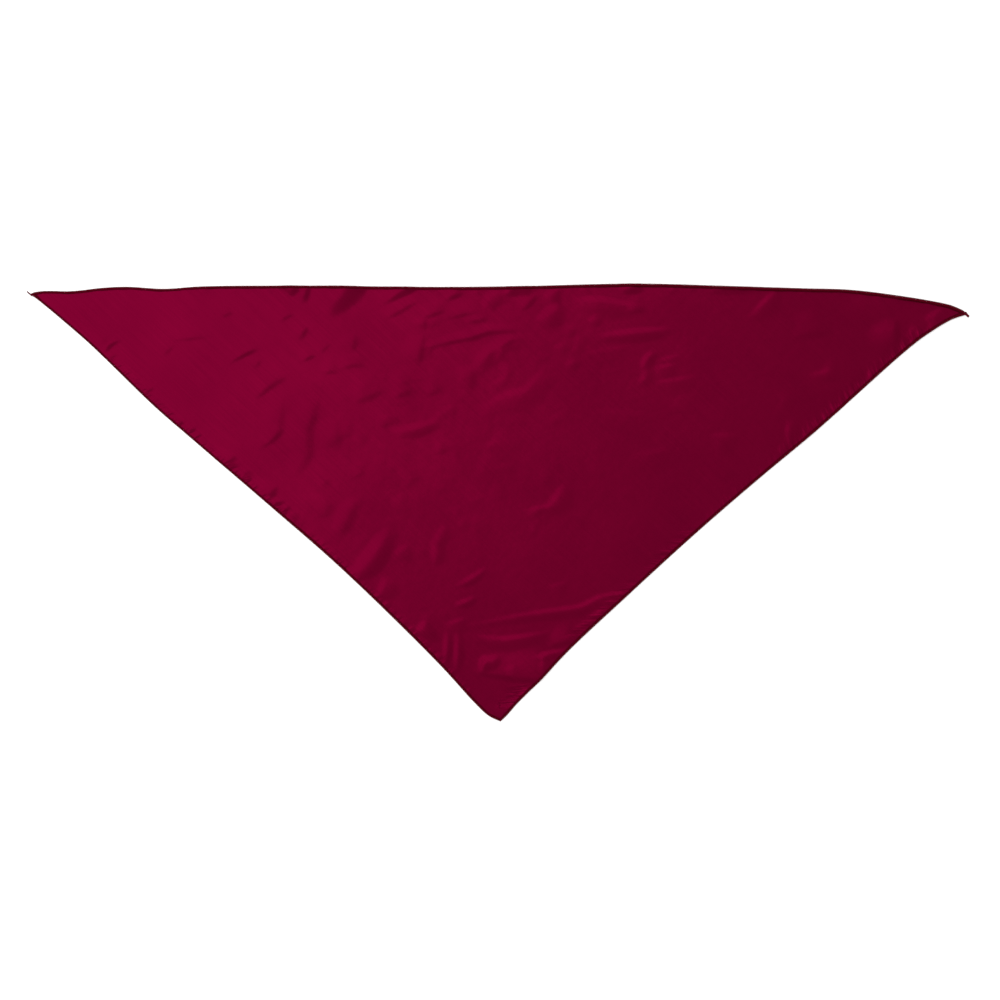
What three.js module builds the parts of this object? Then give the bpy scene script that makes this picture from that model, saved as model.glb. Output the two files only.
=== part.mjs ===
// A triangular satin neckerchief, laid flat, with an overlocked rolled hem on each
// edge and a short thread tail at each sharp corner.
// Millimetres, +Z up. The long edge lies along X and the blunt corner points to -Y.
import * as THREE from "three";

// The triangle, from corner to corner
const LONG_EDGE = 994;
const LEFT_EDGE = 677;
const RIGHT_EDGE = 659;
// Turn of the long edge as the cloth is laid, in degrees, clockwise from above
const LAY_TURN = 1.2;

// The cloth and its hem
const CLOTH_THICKNESS = 1;
const HEM_WIDTH = 3;
const HEM_HEIGHT = 2.4;
const PIECE_GAP = 0.3;
// How far the border of the cloth lies inside the outline
const PANEL_INSET = HEM_WIDTH + PIECE_GAP;

// The folds that the tables below take their lengths from
const FOLD_LENGTH = 100;
const FOLD_WIDTH = 20;
const FOLD_HEIGHT = 6;

// The thread tails at the two sharp corners
const TAIL_LENGTH = 8;
const TAIL_THICKNESS = 1.6;
const TAIL_TIP_THICKNESS = 0.8;

// How finely the shapes are cut into faces
const PANEL_DIVISIONS = 54;
const TAIL_SIDES = 8;
const TAIL_STEPS = 4;
const CORNER_ROUNDS = 8;
const SLOPE_STEP = 0.5;

// The edge curves: how far each edge leaves the straight line between its corners.
// along: place from its first corner, out: how far outside the line, both as shares
// of that edge's length.
const LONG_EDGE_BOWS = [
  { along: 0.0, out: 0.0 },
  { along: 0.02, out: 0.0036 },
  { along: 0.05, out: 0.0052 },
  { along: 0.09, out: 0.01 },
  { along: 0.135, out: 0.0087 },
  { along: 0.18, out: 0.0124 },
  { along: 0.28, out: 0.015 },
  { along: 0.44, out: 0.017 },
  { along: 0.52, out: 0.0194 },
  { along: 0.65, out: 0.0254 },
  { along: 0.76, out: 0.025 },
  { along: 0.88, out: 0.0226 },
  { along: 0.94, out: 0.0163 },
  { along: 0.98, out: 0.0104 },
  { along: 0.99, out: 0.0075 },
  { along: 1.0, out: 0.0 },
];
const RIGHT_EDGE_BOWS = [
  { along: 0.0, out: 0.0 },
  { along: 0.02, out: -0.0055 },
  { along: 0.06, out: -0.0125 },
  { along: 0.12, out: -0.016 },
  { along: 0.3, out: -0.0146 },
  { along: 0.42, out: -0.0179 },
  { along: 0.55, out: -0.0193 },
  { along: 0.72, out: -0.0165 },
  { along: 0.84, out: -0.013 },
  { along: 0.9, out: -0.007 },
  { along: 1.0, out: 0.0 },
];
const LEFT_EDGE_BOWS = [
  { along: 0.0, out: 0.0 },
  { along: 0.02, out: 0.006 },
  { along: 0.05, out: 0.0058 },
  { along: 0.12, out: -0.0006 },
  { along: 0.22, out: -0.0057 },
  { along: 0.36, out: -0.0088 },
  { along: 0.5, out: -0.0055 },
  { along: 0.66, out: -0.0005 },
  { along: 0.74, out: 0.0015 },
  { along: 0.88, out: -0.0024 },
  { along: 1.0, out: 0.0 },
];

// The folds, a row for each. across: place along the long edge, as a share of it.
// down: distance below the long edge, as a share of the triangle's depth. turn: degrees
// that the crest is turned up from the long edge. length, width and height: shares of
// the fold sizes above.
const FOLDS = [
  { name: "long edge wedge", across: 0.34, down: 0.0, turn: 50, length: 0.62, width: 1.7, height: 1.0 },
  { name: "long edge tuck", across: 0.278, down: -0.01, turn: 65, length: 0.4, width: 1.3, height: 0.5 },
  { name: "long edge slant", across: 0.4, down: 0.0, turn: 24, length: 0.7, width: 1.2, height: 0.55 },
  { name: "long edge middle", across: 0.53, down: 0.0, turn: 52, length: 0.55, width: 1.6, height: 0.7 },
  { name: "long edge right", across: 0.785, down: -0.01, turn: 50, length: 0.55, width: 1.2, height: 0.35 },
  { name: "left slant", across: 0.225, down: 0.145, turn: 28, length: 0.4, width: 1.2, height: 0.35 },
  { name: "left low slant", across: 0.258, down: 0.215, turn: 35, length: 0.5, width: 1.3, height: 0.45 },
  { name: "left standing", across: 0.284, down: 0.31, turn: 86, length: 1.05, width: 1.5, height: 0.7 },
  { name: "left standing twin", across: 0.315, down: 0.33, turn: 78, length: 0.75, width: 1.3, height: 0.5 },
  { name: "left leg ridge", across: 0.366, down: 0.605, turn: 54, length: 0.85, width: 1.7, height: 0.8 },
  { name: "left leg short", across: 0.442, down: 0.592, turn: 84, length: 0.55, width: 1.3, height: 0.35 },
  { name: "oblique ridge", across: 0.416, down: 0.298, turn: 20, length: 0.7, width: 1.3, height: 0.5 },
  { name: "long crease above", across: 0.477, down: 0.067, turn: 12, length: 0.9, width: 1.2, height: 0.55 },
  { name: "long crease below", across: 0.489, down: 0.106, turn: 22, length: 0.75, width: 1.3, height: 0.65 },
  { name: "bent ridge low", across: 0.5, down: 0.245, turn: 42, length: 0.5, width: 1.3, height: 0.6 },
  { name: "bent ridge high", across: 0.53, down: 0.2, turn: 40, length: 0.5, width: 1.3, height: 0.6 },
  { name: "middle step", across: 0.492, down: 0.364, turn: 70, length: 0.6, width: 1.6, height: 0.35 },
  { name: "straight ridge", across: 0.642, down: 0.058, turn: 7, length: 0.85, width: 1.2, height: 0.65 },
  { name: "short bent ridge", across: 0.665, down: 0.145, turn: 66, length: 0.5, width: 1.2, height: 0.35 },
  { name: "hooked ridge", across: 0.554, down: 0.459, turn: 34, length: 0.6, width: 1.3, height: 0.45 },
  { name: "lower left ridge", across: 0.475, down: 0.697, turn: 55, length: 0.65, width: 1.6, height: 0.45 },
  { name: "bottom long ridge", across: 0.562, down: 0.727, turn: 12, length: 1.75, width: 1.3, height: 0.65 },
  { name: "bottom short ridge", across: 0.52, down: 0.792, turn: 8, length: 0.85, width: 1.1, height: 0.5 },
  { name: "bottom standing", across: 0.457, down: 0.833, turn: 89, length: 0.55, width: 1.5, height: 0.5 },
  { name: "bottom tip fold", across: 0.526, down: 0.888, turn: 12, length: 0.75, width: 1.5, height: 0.95 },
  { name: "right leg tuck", across: 0.93, down: 0.054, turn: 66, length: 0.5, width: 1.3, height: 0.5 },
  { name: "right leg low tuck", across: 0.885, down: 0.164, turn: 66, length: 0.45, width: 1.2, height: 0.35 },
];

// The section of the hem bead, flat where it rests. in: share of its width from the
// outside, up: share of its height.
const HEM_SECTION = [
  { in: 0.15, up: 0 },
  { in: 0.0, up: 0.3 },
  { in: 0.0, up: 0.6 },
  { in: 0.25, up: 1 },
  { in: 0.75, up: 1 },
  { in: 1.0, up: 0.6 },
  { in: 1.0, up: 0.3 },
  { in: 0.85, up: 0 },
];

// The thread tails. turn: degrees that the tail leaves the line straight out of its
// corner, anticlockwise from above. length and thickness: shares of the tail sizes.
const LEFT_TAIL = { name: "left_thread_tail", turn: -7, length: 1, thickness: 0.9 };
const RIGHT_TAIL = { name: "right_thread_tail", turn: -22, length: 0.85, thickness: 1.2 };

const satin = new THREE.MeshStandardMaterial({ color: 0x74032b, roughness: 0.42, metalness: 0 });
const overlockThread = new THREE.MeshStandardMaterial({ color: 0x4a0418, roughness: 0.8, metalness: 0 });

const UP = new THREE.Vector3(0, 0, 1);

// The three corners, from the lengths of the three edges
function cornerPoints() {
  const foot = (LONG_EDGE ** 2 + LEFT_EDGE ** 2 - RIGHT_EDGE ** 2) / (2 * LONG_EDGE);
  const depth = Math.sqrt(LEFT_EDGE ** 2 - foot ** 2);
  const left = new THREE.Vector3(0, 0, 0);
  const right = new THREE.Vector3(LONG_EDGE, 0, 0);
  const bottom = new THREE.Vector3(foot, -depth, 0);
  return { left, right, bottom, depth };
}

// One curved edge, run clockwise from above, so that its outside is on its left
class ClothEdge {
  constructor(start, end, bows) {
    const run = end.clone().sub(start);
    const out = UP.clone().cross(run);
    const points = bows.map((bow) =>
      start.clone().addScaledVector(run, bow.along).addScaledVector(out, bow.out));
    this.curve = new THREE.CatmullRomCurve3(points, false, "centripetal");
    this.length = this.curve.getLength();
  }

  direction(share) {
    return this.curve.getTangentAt(THREE.MathUtils.clamp(share, 0, 1));
  }

  // The point at a share of the edge, moved in from the outline by an inset
  point(share, inset) {
    const clamped = THREE.MathUtils.clamp(share, 0, 1);
    const inward = this.direction(clamped).cross(UP);
    return this.curve.getPointAt(clamped).addScaledVector(inward, inset);
  }
}

// Where two edges moved in by the same inset meet: the share of the first edge at its
// end and of the second at its start. Each round moves both along their directions.
function meetingShares(first, second, inset) {
  let before = 1 - inset / first.length;
  let after = inset / second.length;
  for (let round = 0; round < CORNER_ROUNDS; round += 1) {
    const a = first.point(before, inset);
    const b = second.point(after, inset);
    const alongFirst = first.direction(before);
    const alongSecond = second.direction(after);
    const between = b.sub(a);
    const turn = alongFirst.x * alongSecond.y - alongFirst.y * alongSecond.x;
    before += (between.x * alongSecond.y - between.y * alongSecond.x) / turn / first.length;
    after += (between.x * alongFirst.y - between.y * alongFirst.x) / turn / second.length;
  }
  return { before, after };
}

// Full in the middle, level there, and falling smoothly to nothing at 1 and past it
function hump(distance) {
  return distance >= 1 ? 0 : (1 - distance ** 2) ** 2;
}

// Nearly full over most of a crest and falling smoothly to nothing at its end
function crest(distance) {
  return distance >= 1 ? 0 : (1 - distance ** 4) ** 2;
}

// Height of the underside of the cloth at a place, nothing where it lies flat
function foldHeight(x, y, depth) {
  let height = 0;
  for (const fold of FOLDS) {
    const turn = THREE.MathUtils.degToRad(fold.turn);
    const dx = x - fold.across * LONG_EDGE;
    const dy = y + fold.down * depth;
    const along = dx * Math.cos(turn) + dy * Math.sin(turn);
    const aside = dy * Math.cos(turn) - dx * Math.sin(turn);
    const halfLength = fold.length * FOLD_LENGTH / 2;
    const halfWidth = fold.width * FOLD_WIDTH / 2;
    const form = crest(Math.abs(along) / halfLength) * hump(Math.abs(aside) / halfWidth);
    height = Math.max(height, fold.height * FOLD_HEIGHT * form);
  }
  return height;
}

// How much thicker the cloth stands upright on a slope than where it lies flat
function slopeStretch(x, y, depth) {
  const here = foldHeight(x, y, depth);
  const riseX = (foldHeight(x + SLOPE_STEP, y, depth) - here) / SLOPE_STEP;
  const riseY = (foldHeight(x, y + SLOPE_STEP, depth) - here) / SLOPE_STEP;
  return Math.hypot(1, riseX, riseY);
}

function makeGeometry(points, triangles) {
  const geometry = new THREE.BufferGeometry();
  const numbers = points.flatMap((p) => [p.x, p.y, p.z]);
  geometry.setAttribute("position", new THREE.Float32BufferAttribute(numbers, 3));
  geometry.setIndex(triangles.flat());
  geometry.computeVertexNormals();
  return geometry;
}

// A closed body through rings of points, each ring clockwise as seen along the run
function bodyThroughRings(rings) {
  const sides = rings[0].length;
  const triangles = [];
  for (let ring = 0; ring + 1 < rings.length; ring += 1) {
    for (let side = 0; side < sides; side += 1) {
      const next = (side + 1) % sides;
      const a = ring * sides + side;
      const b = ring * sides + next;
      triangles.push([a, b + sides, a + sides], [a, b, b + sides]);
    }
  }
  const last = (rings.length - 1) * sides;
  for (let side = 1; side + 1 < sides; side += 1) {
    triangles.push([0, side + 1, side], [last, last + side, last + side + 1]);
  }
  return makeGeometry(rings.flat(), triangles);
}

function namedMesh(name, geometry, material) {
  const mesh = new THREE.Mesh(geometry, material);
  mesh.name = name;
  return mesh;
}

// The cloth triangle inside the hem: a three-way grid whose borders follow the edge
// curves, with one face on the folds and the other a cloth's thickness above it
function makePanel(edges, depth) {
  const corner = edges.map((edge, k) => meetingShares(edges[(k + 2) % 3], edge, PANEL_INSET));
  const cornerAt = edges.map((edge, k) => edge.point(corner[k].after, PANEL_INSET));
  const borderPoint = (k, share) => {
    const from = corner[k].after;
    const to = corner[(k + 1) % 3].before;
    return edges[k].point(from + (to - from) * share, PANEL_INSET);
  };

  // weights: how near a place is to each corner, three shares that add up to 1
  const placeAt = (weights) => {
    const place = new THREE.Vector3();
    weights.forEach((weight, k) => place.addScaledVector(cornerAt[k], weight));
    for (let k = 0; k < 3; k += 1) {
      const next = (k + 1) % 3;
      const nearEdge = weights[k] + weights[next];
      if (nearEdge > 0) {
        const share = weights[next] / nearEdge;
        const straight = cornerAt[k].clone().lerp(cornerAt[next], share);
        place.addScaledVector(borderPoint(k, share).sub(straight), nearEdge);
      }
    }
    return place;
  };

  const under = [];
  const over = [];
  const numberOf = (i, j) => i * (i + 1) / 2 + j;
  const n = PANEL_DIVISIONS;
  for (let i = 0; i <= n; i += 1) {
    for (let j = 0; j <= i; j += 1) {
      const place = placeAt([(n - i) / n, (i - j) / n, j / n]);
      place.z = foldHeight(place.x, place.y, depth);
      under.push(place);
      const thickness = CLOTH_THICKNESS * slopeStretch(place.x, place.y, depth);
      over.push(place.clone().setZ(place.z + thickness));
    }
  }

  const faces = [];
  for (let i = 0; i < n; i += 1) {
    for (let j = 0; j <= i; j += 1) {
      faces.push([numberOf(i, j), numberOf(i + 1, j + 1), numberOf(i + 1, j)]);
      if (j < i) faces.push([numberOf(i, j), numberOf(i, j + 1), numberOf(i + 1, j + 1)]);
    }
  }
  const border = [];
  for (let i = 0; i < n; i += 1) border.push(numberOf(i, 0));
  for (let j = 0; j < n; j += 1) border.push(numberOf(n, j));
  for (let i = n; i > 0; i -= 1) border.push(numberOf(i, i));

  const top = under.length;
  const triangles = faces.map(([a, b, c]) => [a, c, b]);
  faces.forEach(([a, b, c]) => triangles.push([top + a, top + b, top + c]));
  border.forEach((a, index) => {
    const b = border[(index + 1) % border.length];
    triangles.push([a, top + b, b], [a, top + a, top + b]);
  });
  return makeGeometry([...under, ...over], triangles);
}

// One hem bead along an edge, mitred where it meets its neighbours
function makeHem(before, edge, after, depth) {
  const cutBack = (first, second) => {
    const turn = first.direction(1).angleTo(second.direction(0));
    return PIECE_GAP / 2 / Math.cos(turn / 2) / edge.length;
  };
  const shareAt = (inset, share) => {
    const from = meetingShares(before, edge, inset).after + cutBack(before, edge);
    const to = meetingShares(edge, after, inset).before - cutBack(edge, after);
    return from + (to - from) * share;
  };
  const rings = [];
  for (let step = 0; step <= PANEL_DIVISIONS; step += 1) {
    const share = step / PANEL_DIVISIONS;
    const seat = edge.point(shareAt(PANEL_INSET, share), PANEL_INSET);
    const base = foldHeight(seat.x, seat.y, depth);
    rings.push(HEM_SECTION.map((corner) => {
      const cornerInset = corner.in * HEM_WIDTH;
      const point = edge.point(shareAt(cornerInset, share), cornerInset);
      return point.setZ(base + corner.up * HEM_HEIGHT);
    }));
  }
  return bodyThroughRings(rings);
}

// A tapering end of thread that leaves a sharp corner and sinks to the surface
function makeTail(before, after, tail) {
  const inward = after.direction(0).sub(before.direction(1)).normalize();
  const away = inward.negate().applyAxisAngle(UP, THREE.MathUtils.degToRad(tail.turn));
  const aside = UP.clone().cross(away);
  const tip = after.point(0, 0);
  const rootRadius = TAIL_THICKNESS * tail.thickness / 2;
  const tipRadius = TAIL_TIP_THICKNESS * tail.thickness / 2;
  const rings = [];
  for (let step = 0; step <= TAIL_STEPS; step += 1) {
    const share = step / TAIL_STEPS;
    const radius = THREE.MathUtils.lerp(rootRadius, tipRadius, share);
    const centre = tip.clone().addScaledVector(away, PIECE_GAP + share * TAIL_LENGTH * tail.length);
    const ring = [];
    for (let side = 0; side < TAIL_SIDES; side += 1) {
      const angle = side / TAIL_SIDES * 2 * Math.PI;
      const point = centre.clone().addScaledVector(aside, radius * Math.cos(angle));
      ring.push(point.addScaledVector(UP, radius * (1 + Math.sin(angle))));
    }
    rings.push(ring);
  }
  return bodyThroughRings(rings);
}

// The whole neckerchief, resting on z = 0 with the middle of its box on the origin
function makeNeckerchief() {
  const { left, right, bottom, depth } = cornerPoints();
  const longEdge = new ClothEdge(left, right, LONG_EDGE_BOWS);
  const rightEdge = new ClothEdge(right, bottom, RIGHT_EDGE_BOWS);
  const leftEdge = new ClothEdge(bottom, left, LEFT_EDGE_BOWS);

  const laid = new THREE.Group();
  laid.add(
    namedMesh("cloth_panel", makePanel([longEdge, rightEdge, leftEdge], depth), satin),
    namedMesh("long_edge_hem", makeHem(leftEdge, longEdge, rightEdge, depth), overlockThread.clone()),
    namedMesh("right_edge_hem", makeHem(longEdge, rightEdge, leftEdge, depth), overlockThread.clone()),
    namedMesh("left_edge_hem", makeHem(rightEdge, leftEdge, longEdge, depth), overlockThread.clone()),
    namedMesh(LEFT_TAIL.name, makeTail(leftEdge, longEdge, LEFT_TAIL), overlockThread.clone()),
    namedMesh(RIGHT_TAIL.name, makeTail(longEdge, rightEdge, RIGHT_TAIL), overlockThread.clone()),
  );
  laid.rotation.z = -THREE.MathUtils.degToRad(LAY_TURN);

  const neckerchief = new THREE.Group();
  neckerchief.add(laid);
  const box = new THREE.Box3().setFromObject(neckerchief, true);
  const middle = box.getCenter(new THREE.Vector3());
  neckerchief.position.set(-middle.x, -middle.y, -box.min.z);
  neckerchief.updateMatrixWorld(true);
  return neckerchief;
}

export default makeNeckerchief();
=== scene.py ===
"""A triangular satin neckerchief laid flat, with an overlocked rolled hem and two thread ends."""

import math

import bpy
import numpy as np
from bpy.props import FloatProperty, IntProperty, PointerProperty, StringProperty
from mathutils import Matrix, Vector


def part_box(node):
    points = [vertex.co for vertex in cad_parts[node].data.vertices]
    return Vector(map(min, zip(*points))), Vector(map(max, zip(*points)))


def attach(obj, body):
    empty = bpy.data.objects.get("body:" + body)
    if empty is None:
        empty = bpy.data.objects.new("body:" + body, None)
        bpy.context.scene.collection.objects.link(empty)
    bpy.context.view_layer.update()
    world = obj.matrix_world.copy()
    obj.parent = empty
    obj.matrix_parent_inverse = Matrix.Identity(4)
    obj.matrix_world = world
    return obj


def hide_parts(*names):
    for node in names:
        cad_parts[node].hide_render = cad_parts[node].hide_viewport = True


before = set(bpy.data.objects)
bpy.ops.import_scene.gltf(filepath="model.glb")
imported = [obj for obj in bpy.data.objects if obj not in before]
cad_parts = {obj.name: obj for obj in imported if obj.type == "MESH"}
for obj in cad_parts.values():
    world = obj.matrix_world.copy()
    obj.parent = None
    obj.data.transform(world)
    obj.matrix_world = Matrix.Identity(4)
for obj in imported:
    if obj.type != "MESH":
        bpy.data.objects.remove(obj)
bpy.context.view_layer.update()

bl_info = {
    "name": "Satin neckerchief",
    "version": (1, 0, 0),
    "blender": (4, 5, 0),
    "location": "3D View > Sidebar > Neckerchief",
    "description": "Lays out a triangular satin neckerchief with overlocked rolled hems",
    "category": "Object",
}

# Millimetres are used while shaping and turned into metres where a mesh is made
MM = 0.001

# The cut, from corner to corner, and how the long edge is turned as it lies
LONG_EDGE = 994
LEFT_EDGE = 677
RIGHT_EDGE = 659
LAY_TURN = math.radians(-1.2)

# How far each edge leaves the straight line between its corners: place along it and
# distance outside it, both as shares of the edge's length. The edges run clockwise, and the
# sharp corners are drawn out a little by the thread, so their edges run past 0 and 1.
LONG_EDGE_BOWS = [
    (-0.003, 0.0004), (0.0, 0.0022), (0.008, 0.0038), (0.02, 0.0044), (0.035, 0.0043),
    (0.05, 0.0055), (0.072, 0.0086), (0.1, 0.0105), (0.14, 0.0092), (0.18, 0.0126), (0.28, 0.0156),
    (0.44, 0.0176), (0.52, 0.02), (0.65, 0.0256), (0.76, 0.0248), (0.83, 0.0242), (0.88, 0.0236),
    (0.94, 0.0173), (0.976, 0.0118), (0.987, 0.0094), (0.9935, 0.007), (0.998, 0.0051),
    (1.002, 0.0029), (1.0045, -0.0001),
]
RIGHT_EDGE_BOWS = [
    (-0.0045, 0.0052), (0.002, 0.0026), (0.0115, -0.0017), (0.0214, -0.0052), (0.04, -0.0093),
    (0.06, -0.0122), (0.078, -0.0144), (0.12, -0.016), (0.3, -0.0146), (0.42, -0.0179),
    (0.55, -0.0193), (0.72, -0.0165), (0.84, -0.013), (0.9, -0.0074), (0.917, -0.0061),
    (0.935, -0.0055), (0.963, -0.0036), (0.986, -0.0006), (1.0, 0.0),
]
LEFT_EDGE_BOWS = [
    (0.0, 0.0), (0.02, 0.006), (0.05, 0.0058), (0.12, -0.0006), (0.22, -0.0057), (0.36, -0.0088),
    (0.5, -0.0055), (0.66, -0.0005), (0.74, 0.0015), (0.88, -0.0024), (0.942, -0.0009),
    (0.972, 0.0004), (0.9936, 0.0019), (1.0, 0.0028), (1.0037, 0.0025),
]

# The creases that show. Each has a steep flank and a gentler back: width of the flank and
# height in mm, where along it the crease is fullest, width of the back as a share of the
# flank's, and the line of the flank in mm from the middle of the neckerchief. These flanks
# face the upper left.
UPPER_LEFT_FLANKS = [
    # Beside the long edge
    (7.5, 0.85, 0.4, 2.0, [(-14, 210), (-11, 219), (0, 228)]),
    (7.5, 1.0, 0.5, 2.0, [(51, 222), (63, 228)]),
    (9.6, 1.2, 0.5, 2.0, [(43, 196), (53, 204), (64, 213)]),
    (7.5, 1.19, 0.3, 2.6, [(93, 218), (109, 218), (128, 215), (152, 211)]),
    # Round the pit
    (10.7, 0.89, 0.5, 1.6, [(22, 178), (0, 171), (-16, 158), (-27, 143)]),
    (4.3, 0.25, 0.5, 2.6, [(-4, 128), (6, 134), (12, 141)]),
    # The straight ridge and the bent one right of the middle
    (7.0, 1.05, 0.6, 1.6, [(113, 180), (146, 184), (178, 186)]),
    (6.4, 0.26, 0.5, 2.6, [(98, 161), (136, 167)]),
    (5.4, 0.88, 0.5, 1.8, [(166, 162), (159, 156), (154, 146)]),
    (5.4, 0.49, 0.6, 1.8, [(155, 148), (157, 138), (152, 128)]),
    (4.3, 0.33, 0.5, 2.6, [(173, 153), (194, 158)]),
    (5.4, 0.62, 0.4, 2.6, [(171, 145), (192, 148)]),
    (6.4, 0.53, 0.35, 2.6, [(175, 130), (191, 132), (210, 135)]),
    # The middle
    (8.6, 0.66, 0.5, 2.6, [(-13, 104), (7, 115), (27, 121), (38, 130), (46, 141)]),
    (7.5, 0.92, 0.5, 1.5, [(-108, 78), (-86, 83), (-64, 89)]),
    (13.9, 0.49, 0.4, 2.6, [(-23, 28), (-10, 54), (1, 71)]),
    # The hook under the middle
    (5.4, 0.42, 0.7, 2.6, [(29, -8), (46, -5), (59, -2)]),
    (8.6, 0.9, 0.55, 2.2, [(51, -5), (61, 5), (68, 17)]),
    (5.4, 0.27, 0.5, 2.6, [(46, 37), (47, 19)]),
    # The right, out to its tip
    (6.4, 0.77, 0.55, 2.6, [(273, 202), (283, 213), (296, 226)]),
    (4.3, 0.08, 0.5, 2.6, [(266, 199), (279, 206)]),
    (4.8, 0.47, 0.5, 2.6, [(336, 137), (355, 142)]),
    (5.4, 0.92, 0.5, 2.6, [(310, 86), (310, 66)]),
    (8.6, 0.58, 0.5, 2.6, [(232, 73), (255, 72)]),
    (5.4, 0.23, 0.5, 2.6, [(304, 117), (304, 101)]),
    (7.5, 0.97, 0.5, 2.6, [(457, 196), (476, 208)]),
    (5.4, 0.78, 0.5, 2.6, [(438, 175), (444, 189)]),
    # Soft ones right of the middle
    (9.6, 0.44, 0.5, 2.6, [(146, 52), (181, 57)]),
    (9.6, 0.28, 0.5, 2.6, [(114, 98), (164, 95)]),
    # Along the left edge
    (13.9, 1.84, 0.5, 1.3, [(-122, -32), (-137, -52), (-156, -77)]),
    (7.5, 0.92, 0.5, 2.6, [(-121, -81), (-128, -100)]),
    (6.4, 0.64, 0.5, 2.6, [(-109, -54), (-97, -45)]),
    (7.5, 0.59, 0.5, 1.6, [(-58, -25), (-69, -43)]),
    (7.5, 0.78, 0.5, 1.6, [(-69, -41), (-68, -65)]),
    # Above the blunt corner
    (8.6, 0.1, 0.5, 2.6, [(-46, -25), (-34, -17), (-22, -8)]),
    (5.4, 0.74, 0.5, 1.2, [(-40, -86), (-29, -80), (-15, -71)]),
    (5.4, 0.86, 0.5, 1.2, [(-43, -108), (-25, -101)]),
    (5.4, 0.57, 0.5, 2.6, [(-53, -129), (-36, -124)]),
    (8.6, 1.36, 0.5, 2.6, [(-86, -137), (-77, -127)]),
    (5.4, 0.32, 0.5, 2.6, [(-80, -120), (-81, -132)]),
    # At the blunt corner
    (5.4, 0.96, 0.6, 1.0, [(-55, -140), (-57, -171)]),
    (5.4, 0.96, 0.6, 1.3, [(-44, -140), (-45, -177)]),
    (9.6, 1.35, 0.5, 1.0, [(-17, -170), (-9, -167), (0, -164)]),
    (5.9, 1.06, 0.4, 1.2, [(-16, -165), (-18, -182)]),
    (7.5, 0.45, 0.5, 2.6, [(9, -179), (18, -173)]),
    (5.9, 0.9, 0.7, 1.6,
        [(-13, -127), (3, -124), (24, -120), (51, -116), (73, -113), (89, -110), (111, -100), (136, -96)]),
    (6.4, 1.07, 0.5, 2.0, [(-18, -142), (3, -145), (24, -143), (47, -139)]),
    (5.4, 0.96, 0.6, 1.5, [(43, -164), (57, -160), (72, -158)]),
    (5.4, 0.96, 0.5, 2.6, [(48, -162), (47, -183)]),
    (5.4, 0.33, 0.5, 2.6, [(57, -89), (72, -85)]),
    # The squiggle above the straight ridge
    (4.3, 0.25, 0.5, 2.6, [(82, 161), (86, 179)]),
    (5.4, 0.27, 0.5, 2.6, [(60, 165), (73, 172)]),
    (5.4, 0.3, 0.5, 2.6, [(74, 149), (84, 151)]),
    # Faint ones all over the cloth
    (7.5, 0.35, 0.5, 2.6, [(17, 163), (9, 156)]),
    (8.6, 0.44, 0.5, 2.6, [(-45, 140), (-27, 146)]),
    (8.6, 0.18, 0.5, 2.6, [(-21, 187), (3, 191), (19, 188)]),
    (8.6, 0.24, 0.5, 2.6, [(-72, 211), (-56, 218)]),
    (9.6, 0.28, 0.5, 2.6, [(-114, 3), (-99, 9)]),
    (8.6, 0.15, 0.5, 2.6, [(-74, 35), (-61, 43)]),
    (8.6, 0.21, 0.5, 3.0, [(375, 213), (390, 216), (403, 217)]),
    (9.6, 0.25, 0.5, 3.0, [(363, 104), (354, 95)]),
    (8.6, 0.06, 0.5, 3.0, [(241, 5), (258, 14)]),
    (9.6, 0.12, 0.5, 3.0, [(99, 22), (112, 28)]),
    (8.6, 0.21, 0.5, 3.0, [(128, 11), (144, 17)]),
    (8.6, 0.12, 0.5, 3.0, [(75, 49), (85, 55)]),
]

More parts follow.
